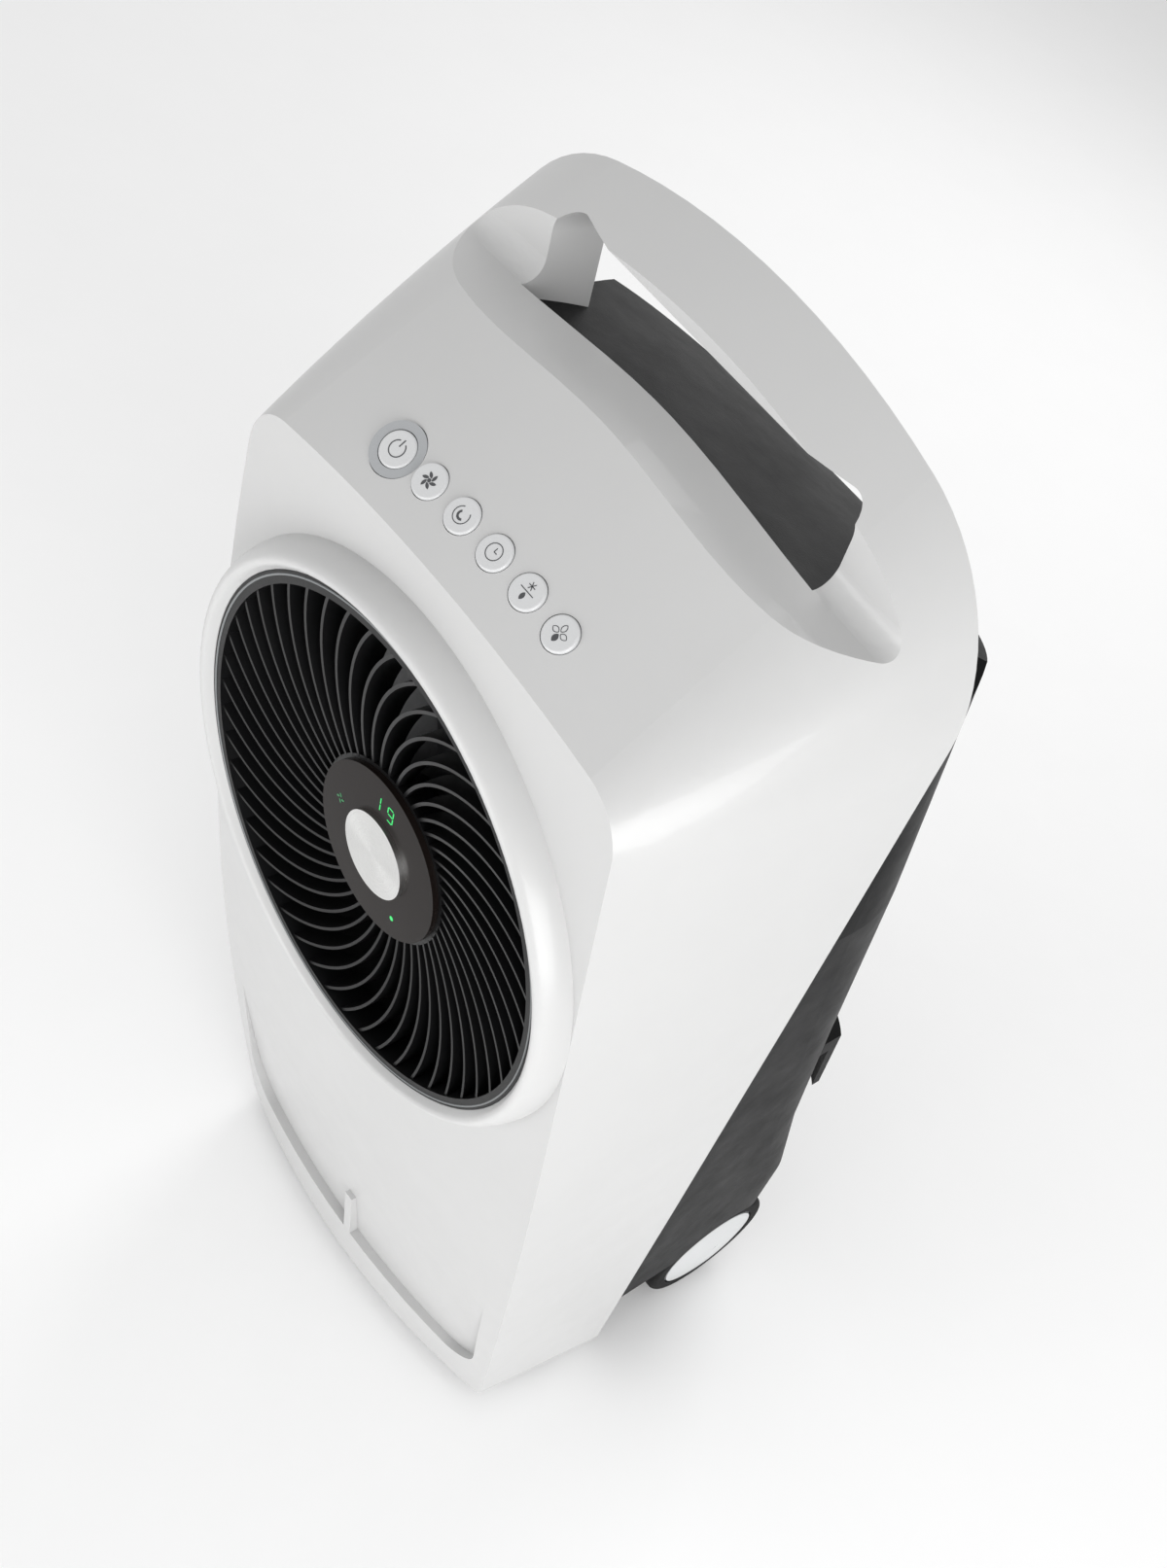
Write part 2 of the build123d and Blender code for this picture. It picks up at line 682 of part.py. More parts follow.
keep(disc(11, fan_front, nut_front, shaft_radius - fit_clearance), "fan_nut")

# Buttons, their ring, the board and its switches
button_names = ("power", "speed", "night", "timer", "mode", "breeze")
for index, name in enumerate(button_names):
    drop = (row_point - button_plane(index).origin).dot(push_axis)
    head = power_radius if index == 0 else button_radius
    with BuildPart() as button:
        with BuildSketch(button_plane(index, flange_depth)):
            Circle(head)
        extrude(amount=flange_depth + button_proud)
        fillet(button.edges().filter_by(GeomType.CIRCLE).sort_by(Axis(row_point, push_axis))[-1], 0.8)
        with BuildSketch(button_plane(index, flange_depth + flange_thickness)):
            Circle(flange_radius)
        extrude(amount=flange_thickness)
        with BuildSketch(button_plane(index, stem_depth - drop)):
            Circle(stem_radius)
        extrude(amount=stem_depth - drop - flange_depth)
    keep(button.part, f"button_{name}")
with BuildPart() as power_ring:
    with BuildSketch(button_plane(0, wall)):
        Circle(power_ring_radius)
        Circle(power_radius + joint_gap, mode=Mode.SUBTRACT)
    extrude(amount=wall + 0.5)
keep(power_ring.part, "power_ring")
with BuildPart() as button_board:
    with BuildSketch(board_plane(switch_depth + board_thickness)):
        Rectangle(2 * board_half + 10, board_depth)
    extrude(amount=board_thickness)
keep(button_board.part, "button_board")
with BuildPart() as tact_switches:
    with BuildSketch(board_plane(switch_depth)):
        with GridLocations(button_pitch, 0, button_count, 1):
            Rectangle(switch_side, switch_side)
    extrude(amount=switch_body)
    with BuildSketch(board_plane(switch_depth - switch_body)):
        with GridLocations(button_pitch, 0, button_count, 1):
            Circle(plunger_radius)
    extrude(amount=plunger_height)
keep(tact_switches.part, "tact_switches")

# Tank drawer with its face
with BuildPart() as water_tank:
    add(block(-tank_half, tank_half, tank_front, 118, tank_bottom, tank_top))
    face_zone = block(-tank_face_half, tank_face_half, 108, 160, tank_bottom, tank_face_top)
    add(rear_outer & face_zone)
    add(
        block(
            tank_wall - tank_half,
            tank_half - tank_wall,
            tank_front + tank_wall,
            115,
            tank_bottom + tank_wall,
            250,
        ),
        mode=Mode.SUBTRACT,
    )
    add(block(-46, 46, 128, 160, 176, 200), mode=Mode.SUBTRACT)
    notch = block(
        pump_x - spigot_radius - 1,
        pump_x + spigot_radius + 1,
        tank_front - 1,
        tank_front + 4,
        spigot_z - 8,
        tank_top + 1,
    )
    add(notch, mode=Mode.SUBTRACT)
keep(water_tank.part, "water_tank")

# Pump with its outlet, which plugs into the socket at the front when the drawer is home
floor_z = tank_bottom + tank_wall
with BuildPart() as pump:
    add(rod_z(pump_radius, pump_x, pump_y, floor_z, floor_z + pump_height))
    add(rod_z(spigot_radius, pump_x, pump_y, floor_z, spigot_z))
    with BuildSketch(front_plane(pump_y + spigot_radius, spigot_z)):
        with Locations((pump_x, 0)):
            Circle(spigot_radius)
    extrude(amount=pump_y + spigot_radius - (tank_front - 12))
keep(pump.part, "pump")
socket_front = tank_front - 16
with BuildPart() as hose_socket:
    add(block(pump_x - 11, hose_x + 8, socket_front, tank_front - 2, spigot_z - 9, spigot_z + 9))
    add(block(pump_x - 5, pump_x + 5, socket_front, tank_front - 2, deck_z + deck_thickness, spigot_z))
    with BuildSketch(front_plane(tank_front, spigot_z)):
        with Locations((pump_x, 0)):
            Circle(spigot_radius + fit_clearance)
    extrude(amount=13, mode=Mode.SUBTRACT)
keep(hose_socket.part, "hose_socket")

# Evaporative section: drip tray, cassette with its pad, water tray and the hose that feeds it
pad_low, pad_high = pad_bottom, pad_top
cassette_half = pad_half + cassette_wall
with BuildPart() as pad_cassette:
    add(block(-cassette_half, cassette_half, pad_front, pad_back, pad_low - cassette_wall, pad_high + cassette_wall))
    add(block(-pad_half, pad_half, pad_front - 1, pad_back + 1, pad_low, pad_high), mode=Mode.SUBTRACT)
    for y in (pad_front, pad_back - 2):
        for index in range(1, 4):
            rail_z = pad_low + index * (pad_high - pad_low) / 4
            add(block(-pad_half - 1, pad_half + 1, y, y + 2, rail_z - 2, rail_z + 2))
keep(pad_cassette.part, "pad_cassette")
keep(
    block(
        joint_gap - pad_half,
        pad_half - joint_gap,
        pad_front + 2.3,
        pad_back - 2.3,
        pad_low + joint_gap,
        pad_high - joint_gap,
    ),
    "cooling_pad",
)
drip_top = pad_low - cassette_wall
with BuildPart() as drip_tray:
    add(rear_inner_clear & block(-200, 200, 2, 64, drip_top - drip_height, drip_top))
    add(
        rear_shape(wall + joint_gap + 2) & block(
            -200,
            200,
            4,
            62,
            drip_top - drip_height + 3,
            drip_top + 1,
        ),
        mode=Mode.SUBTRACT,
    )
    for index in range(3):
        add(block((index - 1) * 60 - 3, (index - 1) * 60 + 3, 4, 62, drip_top - drip_height + 1, drip_top))
    add(block(-20, -10, 10, 56, drip_top - drip_height - 1, drip_top - drip_height + 4), mode=Mode.SUBTRACT)
keep(drip_tray.part, "drip_tray")
tray_low = pad_high + cassette_wall
with BuildPart() as water_tray:
    add(block(-cassette_half, cassette_half, pad_front, pad_back, tray_low, tray_low + tray_height))
    add(
        block(
            2 - cassette_half,
            cassette_half - 2,
            pad_front + 2,
            pad_back - 2,
            tray_low + 2,
            tray_low + tray_height - 2,
        ),
        mode=Mode.SUBTRACT,
    )
    with BuildSketch(Plane.XY.offset(tray_low - 1)):
        with Locations((0, (pad_front + pad_back) / 2)):
            with GridLocations(16, 1, 11, 1):
                Circle(1.5)
    extrude(amount=4, mode=Mode.SUBTRACT)
keep(water_tray.part, "water_tray")
with BuildPart() as riser_hose:
    with BuildLine() as route:
        FilletPolyline(
            (hose_x, hose_y, spigot_z + 9),
            (hose_x, hose_y, 268),
            (hose_x, -40, 330),
            (hose_x - 2, 4, 420),
            (hose_x - 4, 30, 500),
            (hose_x - 6, 33, tray_low + tray_height / 2),
            (cassette_half, 33, tray_low + tray_height / 2),
            radius=(40, 60, 60, 40, 8),
        )
    with BuildSketch(Plane(route.wires()[0] @ 0, z_dir=(0, 0, 1))):
        Circle(hose_radius)
    sweep()
keep(riser_hose.part, "riser_hose")

# Tank latch, cord hook and cord gland on the rear
with BuildPart() as tank_latch:
    with BuildSketch(front_plane(latch_y + latch_thickness, latch_z)):
        SlotOverall(latch_length, latch_width)
    extrude(amount=latch_thickness)
    chamfer(tank_latch.edges().group_by(Axis.Y)[-1], 1.5)
keep(tank_latch.part, "tank_latch")
hook_zone = block(hook_x0, hook_x1, 80, 160, hook_low, hook_high)
root_zone = block(hook_x0, hook_x1, 80, 160, hook_high - hook_root, hook_high)
hook_bar = (rear_form(-hook_reach) & hook_zone) - rear_form(-hook_throat)
hook_base = (rear_form(-hook_reach) & root_zone) - rear_form(0)
keep(hook_bar + hook_base, "cord_hook")
keep(
    (rod_y(gland_radius, gland_x, gland_z, 60, 180, cord_bore) & rear_form(-gland_reach)) - rear_form(0),
    "cord_gland",
)

# Screws that hold the shroud to the collar and the motor to the shroud
with BuildPart() as shroud_screws:
    for index in range(screw_count):
        turn = radians(90 * index)
        place = (shroud_screw_ring * cos(turn), grille_z + shroud_screw_ring * sin(turn))
        add(rod_y(screw_radius, *place, collar_back, collar_back + 3))
        add(rod_y(screw_head, *place, collar_back + 3, collar_back + 3 + screw_head_height))
keep(shroud_screws.part, "shroud_screws")
with BuildPart() as motor_screws:
    for index in range(screw_count):
        turn = radians(90 * index)
        place = (motor_screw_ring * cos(turn), grille_z + motor_screw_ring * sin(turn))
        add(rod_y(screw_radius, *place, motor_front - 8, motor_front))
        add(rod_y(screw_head, *place, motor_front - 8 - screw_head_height, motor_front - 8))
keep(motor_screws.part, "motor_screws")

print("push axis", [round(part, 5) for part in push_axis], "latch at", round(latch_y, 2), round(latch_z, 2))
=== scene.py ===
# %% [markdown]
# An evaporative air cooler: a tall white front shell with a carrying arch, a round swirl grille with a
# display hub in its middle, a black rear housing with a drawer tank, and two wheels at the back.
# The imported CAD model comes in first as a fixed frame. Its nodes stay where they are and get finishes,
# and the small things that only an eye needs are modelled on top of them.

# %% Load the frame
import bpy, json, math
from mathutils import Matrix, Vector


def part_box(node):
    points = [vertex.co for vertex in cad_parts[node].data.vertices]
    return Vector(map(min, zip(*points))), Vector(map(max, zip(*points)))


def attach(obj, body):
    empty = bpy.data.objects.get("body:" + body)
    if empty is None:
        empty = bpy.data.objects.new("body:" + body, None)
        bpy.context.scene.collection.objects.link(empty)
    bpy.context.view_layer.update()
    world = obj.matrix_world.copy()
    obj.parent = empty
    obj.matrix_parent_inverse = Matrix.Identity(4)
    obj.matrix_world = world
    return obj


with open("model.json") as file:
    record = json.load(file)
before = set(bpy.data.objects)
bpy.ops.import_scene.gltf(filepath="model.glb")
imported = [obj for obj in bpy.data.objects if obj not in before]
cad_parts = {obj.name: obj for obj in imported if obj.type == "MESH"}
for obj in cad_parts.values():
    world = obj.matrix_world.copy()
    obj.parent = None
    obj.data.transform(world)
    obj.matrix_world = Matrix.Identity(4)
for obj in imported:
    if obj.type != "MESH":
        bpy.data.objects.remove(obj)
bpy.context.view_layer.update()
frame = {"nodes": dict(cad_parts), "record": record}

# %% [markdown]
# The camera looks down at the cooler from its front right and above, and is rolled as the picture is.
# Its place, angles and lens were fitted to the grille, the keys, the arch and the wheel. The shift puts
# the machine where it stands in the picture, which is 1613 pixels high.

# %% Camera
CAMERA_PLACE = Vector((0.3291, -0.4126, 0.9316))
AZIMUTH, ELEVATION, ROLL = (math.radians(a) for a in (22.43, 52.85, 32.03))
PICTURE_HEIGHT, FOCAL_PIXELS = 1613, 1480
SHIFT_RIGHT, SHIFT_UP = -176.0, 331.8
SENSOR_HEIGHT = 36.0

ground = math.cos(ELEVATION)
away = Vector((math.sin(AZIMUTH) * ground, -math.cos(AZIMUTH) * ground, math.sin(ELEVATION)))
level = (-away).cross(Vector((0, 0, 1))).normalized()
rise = level.cross(-away)
right = math.cos(ROLL) * level + math.sin(ROLL) * rise
top = -math.sin(ROLL) * level + math.cos(ROLL) * rise
turned_to = Matrix((right, top, away)).transposed().to_4x4()
bpy.ops.object.camera_add(location=CAMERA_PLACE)
camera = bpy.context.object
camera.name = "photo_camera"
camera.matrix_world = Matrix.Translation(CAMERA_PLACE) @ turned_to
camera.data.sensor_fit, camera.data.sensor_height = "VERTICAL", SENSOR_HEIGHT
camera.data.lens = SENSOR_HEIGHT * FOCAL_PIXELS / PICTURE_HEIGHT
camera.data.shift_x = SHIFT_RIGHT / PICTURE_HEIGHT
camera.data.shift_y = SHIFT_UP / PICTURE_HEIGHT
camera.data.clip_start, camera.data.clip_end = 0.02, 50
bpy.context.scene.camera = camera
print("camera at", tuple(round(v, 3) for v in CAMERA_PLACE))

# %% [markdown]
# A pale floor and big soft lamps copy a product studio. The strong one stands to the right of the machine,
# low enough to light its side and front, and the top gets less, so the control panel reads darker.

# %% Floor and light
FLOOR_SIZE, DAYLIGHT = 12, 0.72

bpy.ops.mesh.primitive_plane_add(size=FLOOR_SIZE, location=(0, 0, 0))
floor = bpy.context.object
floor.name = "studio_floor"
world = bpy.data.worlds.new("studio")
world.use_nodes = True
sky = world.node_tree.nodes["Background"]
sky.inputs["Color"].default_value = (1, 1, 1, 1)
sky.inputs["Strength"].default_value = DAYLIGHT
bpy.context.scene.world = world
bpy.context.scene.view_settings.view_transform = "Standard"


def lamp(name, place, aim, size, power):
    """A square softbox at a place, turned towards a point: its side in metres, its power in watts."""
    bpy.ops.object.light_add(type="AREA", location=place)
    light = bpy.context.object
    light.name = name
    light.data.size, light.data.energy = size, power
    light.rotation_euler = (Vector(aim) - Vector(place)).to_track_quat("-Z", "Y").to_euler()


lamp("side_softbox", (2.1, -0.9, 0.75), (0, 0, 0.35), 1.4, 36)
lamp("front_softbox", (-0.4, -2.3, 0.6), (0, 0, 0.4), 1.5, 20)
lamp("back_softbox", (-0.8, 1.9, 1.7), (0, 0, 0.4), 1.2, 12)
print("daylight", DAYLIGHT)

# %% [markdown]
# Moulded plastic is never one flat colour: the skin has a very fine grain, the tone drifts a little over a
# hand's breadth, and the gloss is uneven where it was wiped. One node group makes all three, and each plastic
# places it with its own values. The group reads Object coordinates, so the grain sits still on the piece.


# %% Helpers for node trees
def put(tree, kind, values=None, **settings):
    """Adds a node, with its settings and its input values."""
    made = tree.nodes.new(kind)
    for key, value in settings.items():
        setattr(made, key, value)
    for key, value in (values or {}).items():
        made.inputs[key].default_value = value
    return made


def group_of(name, inputs, outputs):
    """A shader group with named sockets: (name, kind) pairs."""
    tree = bpy.data.node_groups.new(name, "ShaderNodeTree")
    for label, kind in inputs:
        tree.interface.new_socket(name=label, in_out="INPUT", socket_type="NodeSocket" + kind)
    for label, kind in outputs:
        tree.interface.new_socket(name=label, in_out="OUTPUT", socket_type="NodeSocket" + kind)
    return tree, put(tree, "NodeGroupInput"), put(tree, "NodeGroupOutput")


def join(tree, *pairs):
    """Links each output to its input."""
    for source, target in pairs:
        tree.links.new(source, target)


# %% Group: moulded skin
skin, given, result = group_of(
    "moulded_skin",
    [("Color", "Color"), ("Mottle", "Float"), ("Gloss", "Float"), ("Grain", "Float"), ("Depth", "Float")],
    [("Color", "Color"), ("Roughness", "Float"), ("Normal", "Vector")])
place = put(skin, "ShaderNodeTexCoord")
drift = put(skin, "ShaderNodeTexNoise", {"Scale": 9.0, "Detail": 4.0, "Roughness": 0.6})
wiped = put(skin, "ShaderNodeTexNoise", {"Scale": 34.0, "Detail": 6.0, "Roughness": 0.7})
grain = put(skin, "ShaderNodeTexNoise", {"Detail": 2.0, "Roughness": 0.6})
tone = put(skin, "ShaderNodeMapRange", {"From Min": 0.3, "From Max": 0.7})
dark = put(skin, "ShaderNodeMath", {0: 1.0}, operation="SUBTRACT")
shade = put(skin, "ShaderNodeVectorMath", operation="SCALE")
rough = put(skin, "ShaderNodeMapRange", {"From Min": 0.25, "From Max": 0.75})
low = put(skin, "ShaderNodeMath", {1: 0.85}, operation="MULTIPLY")
high = put(skin, "ShaderNodeMath", {1: 1.18}, operation="MULTIPLY")
bump = put(skin, "ShaderNodeBump", {"Distance": 0.0004})
join(skin, (place.outputs["Object"], drift.inputs["Vector"]), (place.outputs["Object"], wiped.inputs["Vector"]),
     (place.outputs["Object"], grain.inputs["Vector"]), (given.outputs["Grain"], grain.inputs["Scale"]),
     (given.outputs["Mottle"], dark.inputs[1]), (dark.outputs[0], tone.inputs["To Min"]),
     (drift.outputs["Fac"], tone.inputs["Value"]), (given.outputs["Color"], shade.inputs[0]),
     (tone.outputs[0], shade.inputs["Scale"]), (shade.outputs[0], result.inputs["Color"]),
     (given.outputs["Gloss"], low.inputs[0]), (given.outputs["Gloss"], high.inputs[0]),
     (low.outputs[0], rough.inputs["To Min"]), (high.outputs[0], rough.inputs["To Max"]),
     (wiped.outputs["Fac"], rough.inputs["Value"]), (rough.outputs[0], result.inputs["Roughness"]),
     (grain.outputs["Fac"], bump.inputs["Height"]), (given.outputs["Depth"], bump.inputs["Strength"]),
     (bump.outputs[0], result.inputs["Normal"]))
print("group", skin.name)

# %% [markdown]
# The floor of the studio and most of the machine use that one group, so a small function makes a plastic
# from a colour, a gloss, a grain size and a depth. The grain is given as the noise's scale: 900 is about
# a millimetre from bump to bump.


# %% Plastics
def blank(name):
    """A material with its shader and nothing on it yet."""
    made = bpy.data.materials.new(name)
    made.use_nodes = True
    return made, made.node_tree, made.node_tree.nodes["Principled BSDF"]


def plastic(name, color, gloss, grain=900.0, depth=0.12, mottle=0.05, coat=0.0, **sockets):
    """Moulded plastic, rubber or paint."""
    made, tree, shader = blank(name)
    surface = put(tree, "ShaderNodeGroup", node_tree=skin)
    given_values = {"Color": (*color, 1), "Mottle": mottle, "Gloss": gloss, "Grain": grain, "Depth": depth}
    for label, value in given_values.items():
        surface.inputs[label].default_value = value
    shader.inputs["Coat Weight"].default_value = coat
    for label, value in sockets.items():
        shader.inputs[label.replace("_", " ")].default_value = value
    join(tree, (surface.outputs["Color"], shader.inputs["Base Color"]),
         (surface.outputs["Roughness"], shader.inputs["Roughness"]),
         (surface.outputs["Normal"], shader.inputs["Normal"]))
    return made


# Each row: colour, gloss, grain, depth, mottle and coat, then any socket of the shader by its name.
PLASTICS = {
    "white_body": ((0.52, 0.52, 0.518), 0.34, 1500, 0.05, 0.03, 0.15),
    "black_body": ((0.004, 0.004, 0.0044), 0.42, 1100, 0.22, 0.05, 0.0, {"Specular_IOR_Level": 0.06}),
    "panel_mesh": ((0.008, 0.008, 0.009), 0.44, 1300, 0.3, 0.15, 0.0, {"Specular_IOR_Level": 0.12}),
    "grey_plastic": ((0.2, 0.21, 0.215), 0.45, 1000, 0.25, 0.1, 0.0),
    "wheel_rubber": ((0.01, 0.01, 0.01), 0.7, 700, 0.6, 0.3, 0.0, {"Specular_IOR_Level": 0.12}),
    "cap_grey": ((0.56, 0.57, 0.575), 0.3, 1500, 0.05, 0.04, 0.2),
    "grille_black": ((0.006, 0.006, 0.0064), 0.34, 1400, 0.1, 0.12, 0.0, {"Specular_IOR_Level": 0.25}),
    "shroud_black": ((0.02, 0.02, 0.021), 0.5, 1000, 0.3, 0.15, 0.0),
    "fan_grey": ((0.03, 0.031, 0.033), 0.42, 900, 0.2, 0.12, 0.0),
    "nut_black": ((0.03, 0.03, 0.03), 0.5, 900, 0.3, 0.12, 0.0),
    "key_white": ((0.58, 0.585, 0.59), 0.33, 1500, 0.05, 0.03, 0.2),
    "ring_grey": ((0.36, 0.37, 0.38), 0.35, 1300, 0.1, 0.06, 0.0),
    "pump_black": ((0.03, 0.03, 0.033), 0.45, 900, 0.3, 0.12, 0.0),
    "latch_black": ((0.018, 0.018, 0.02), 0.42, 1000, 0.3, 0.12, 0.0),
    "motor_steel": ((0.2, 0.21, 0.215), 0.35, 600, 0.2, 0.1, 0.0, {"Metallic": 0.7}),
    "display_black": ((0.011, 0.008, 0.007), 0.22, 300, 0.02, 0.25, 0.0, {"Specular_IOR_Level": 0.1}),
    "white_inner": ((0.6, 0.6, 0.59), 0.42, 1000, 0.15, 0.06, 0.0),
    "icon_grey": ((0.06, 0.062, 0.066), 0.5, 1200, 0.05, 0.1, 0.0),
}
finish = {}
for title, row in PLASTICS.items():
    extra = row[6] if len(row) > 6 else {}
    finish[title] = plastic(title, *row[:6], **extra)
floor.data.materials.append(plastic("studio_floor", (0.93, 0.93, 0.93), 0.7, 300, 0.02, 0.01))
print("plastics", len(finish))

# %% [markdown]
# Metal that was turned or brushed shows fine lines that follow the tool. On the hub's disc the brush ran in
# circles, which on the real one gives bright fans of light; in this studio's soft light they hardly show.
# The lines come from the distance to the disc's middle, which a Mapping node moves to the origin.


# %% Metals
def turned(name, color, gloss, centre, stretch, scale):
    """Metal with fine lines: stretch squeezes the noise along the tool's path."""
    made, tree, shader = blank(name)
    where = put(tree, "ShaderNodeTexCoord")
    centred = put(tree, "ShaderNodeMapping", {"Location": tuple(-c for c in centre)})
    distance = put(tree, "ShaderNodeVectorMath", operation="LENGTH")
    squeezed = put(tree, "ShaderNodeVectorMath", {1: stretch}, operation="MULTIPLY")
    scaled = put(tree, "ShaderNodeMath", {1: 18.0}, operation="MULTIPLY")
    lines = put(tree, "ShaderNodeTexNoise", {"Scale": scale, "Detail": 3.0}, noise_dimensions="4D")
    darker = tuple(c * 0.82 for c in color)
    tint = put(tree, "ShaderNodeMixRGB", {"Color1": (*darker, 1), "Color2": (*color, 1)})
    worn = put(tree, "ShaderNodeMapRange", {"To Min": gloss * 0.7, "To Max": gloss * 1.35})
    ridges = put(tree, "ShaderNodeBump", {"Strength": 0.25, "Distance": 0.0002})
    shader.inputs["Metallic"].default_value = 1.0
    join(tree, (where.outputs["Object"], centred.inputs["Vector"]), (centred.outputs[0], distance.inputs[0]),
         (centred.outputs[0], squeezed.inputs[0]), (squeezed.outputs[0], lines.inputs["Vector"]),
         (distance.outputs["Value"], scaled.inputs[0]), (scaled.outputs[0], lines.inputs["W"]),
         (lines.outputs["Fac"], tint.inputs["Fac"]), (tint.outputs[0], shader.inputs["Base Color"]),
         (lines.outputs["Fac"], worn.inputs["Value"]), (worn.outputs[0], shader.inputs["Roughness"]),
         (lines.outputs["Fac"], ridges.inputs["Height"]), (ridges.outputs[0], shader.inputs["Normal"]))
    return made


def middle(node):
    """The middle of a node's box."""
    low_corner, high_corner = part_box(node)
    return (low_corner + high_corner) / 2


finish["disc_silver"] = turned("disc_silver", (0.78, 0.78, 0.77), 0.28, middle("metal_disc"),
                               (0.02, 0.02, 0.02), 160)
silver = finish["disc_silver"].node_tree
brushed = put(silver, "ShaderNodeTangent", direction_type="RADIAL", axis="Y")
join(silver, (brushed.outputs[0], silver.nodes["Principled BSDF"].inputs["Tangent"]))
silver.nodes["Principled BSDF"].inputs["Anisotropic"].default_value = 0.85
finish["axle_steel"] = turned("axle_steel", (0.62, 0.62, 0.63), 0.3, (0, 0, 0), (400, 30, 30), 2.0)
finish["screw_steel"] = turned("screw_steel", (0.5, 0.5, 0.51), 0.35, (0, 0, 0), (90, 90, 90), 3.0)
print("metals made, finishes now", len(finish))

# %% [markdown]
# The wet pad is corrugated paper stood on edge, so it shows rows of waves. The filter is a woven gauze, and
# the circuit boards have copper tracks under a green lacquer. Each gets its own pattern of nodes.


# %% Pad, gauze and boards
def patterned(name, light, dark_tone, gloss, depth, draw):
    """A material whose colour and relief follow one pattern, which the function given draws."""
    made, tree, shader = blank(name)
    where = put(tree, "ShaderNodeTexCoord")
    pattern = draw(tree, where.outputs["Object"])
    tint = put(tree, "ShaderNodeMixRGB", {"Color1": (*dark_tone, 1), "Color2": (*light, 1)})
    worn = put(tree, "ShaderNodeMapRange", {"To Min": gloss * 1.15, "To Max": gloss * 0.85})
    relief = put(tree, "ShaderNodeBump", {"Strength": depth, "Distance": 0.001})
    join(tree, (pattern, tint.inputs["Fac"]), (tint.outputs[0], shader.inputs["Base Color"]),
         (pattern, worn.inputs["Value"]), (worn.outputs[0], shader.inputs["Roughness"]),
         (pattern, relief.inputs["Height"]), (relief.outputs[0], shader.inputs["Normal"]))
    return made


def bands(tree, where, scale, direction, waver):
    """Even waves across the piece in one direction."""
    values = {"Scale": scale, "Distortion": waver, "Detail": 1.0}
    wave = put(tree, "ShaderNodeTexWave", values, bands_direction=direction)
    join(tree, (where, wave.inputs["Vector"]))
    return wave.outputs["Fac"]


def corrugated(tree, where):
    """Slanting waves, as of corrugated paper."""
    return bands(tree, where, 90.0, "DIAGONAL", 1.5)


def woven(tree, where):
    """Two sets of threads across each other."""
    cross = put(tree, "ShaderNodeMath", operation="MULTIPLY")
    upright = bands(tree, where, 240.0, "X", 0.3)
    lying = bands(tree, where, 240.0, "Z", 0.3)
    join(tree, (upright, cross.inputs[0]), (lying, cross.inputs[1]))
    return cross.outputs[0]


def tracks(tree, where):
    """Thin lines between square islands, as on a circuit board."""
    islands = {"distance": "MANHATTAN", "feature": "DISTANCE_TO_EDGE"}
    cells = put(tree, "ShaderNodeTexVoronoi", {"Scale": 160.0}, **islands)
    step = put(tree, "ShaderNodeMapRange", {"From Min": 0.02, "From Max": 0.08})
    join(tree, (where, cells.inputs["Vector"]), (cells.outputs["Distance"], step.inputs["Value"]))
    return step.outputs[0]


finish["pad_paper"] = patterned("pad_paper", (0.5, 0.4, 0.25), (0.2, 0.15, 0.09), 0.85, 0.9, corrugated)
finish["filter_gauze"] = patterned("filter_gauze", (0.09, 0.095, 0.1), (0.01, 0.01, 0.012), 0.7, 0.8, woven)
finish["board_green"] = patterned("board_green", (0.02, 0.12, 0.05), (0.12, 0.2, 0.05), 0.35, 0.4, tracks)
print("finishes", len(finish))

# %% [markdown]
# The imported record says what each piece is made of. Its slots have the finishes' names, so one loop dresses
# every piece of the frame and no piece is forgotten.

# %% Give each CAD node its finish
for row in frame["record"]["subparts"]:
    carried = frame["nodes"][row["node"]]
    carried.data.materials.clear()
    carried.data.materials.append(finish[row["material_slot"]])

# %% [markdown]
# The pictures on the keys are thin prints. Each is drawn flat on the ground from bands, bars and petals, made
# into one piece, and then laid on its key. A print 0.12 mm thick casts no shadow, and its edge isn't seen.

# %% Drawing tools for prints
MM = 0.001
PRINT = 0.12 * MM
RING_CORNERS, LEAF_CORNERS = 40, 24
parts_of_print = []


def alone(*pieces):
    """Deselects everything but the pieces given, the first of which is active."""
    bpy.ops.object.select_all(action="DESELECT")
    for piece in pieces:
        piece.select_set(True)
    if pieces:
        bpy.context.view_layer.objects.active = pieces[0]


def band(radius, width, start=0.0, sweep=360.0, x=0.0, y=0.0):
    """A flat ring or arc of a ring, its angles from +X in degrees."""
    alone()
    bpy.ops.mesh.primitive_circle_add(vertices=RING_CORNERS, radius=radius, fill_type="NOTHING",
                                      location=(x, y, 0))
    ring = bpy.context.object
    bpy.ops.object.transform_apply(location=True)
    bpy.ops.object.mode_set(mode="EDIT")
    bpy.ops.mesh.select_all(action="DESELECT")
    bpy.ops.object.mode_set(mode="OBJECT")
    for point in ring.data.vertices:
        angle = math.degrees(math.atan2(point.co.y - y, point.co.x - x)) - start
        point.select = angle % 360.0 > sweep
    bpy.ops.object.mode_set(mode="EDIT")
    bpy.ops.mesh.delete(type="VERT")
    bpy.ops.mesh.select_all(action="SELECT")
    bpy.ops.mesh.extrude_region_move()
    inner = (radius - width) / radius
    bpy.ops.transform.resize(value=(inner, inner, 1), center_override=(x, y, 0))
    bpy.ops.object.mode_set(mode="OBJECT")
    parts_of_print.append(ring)


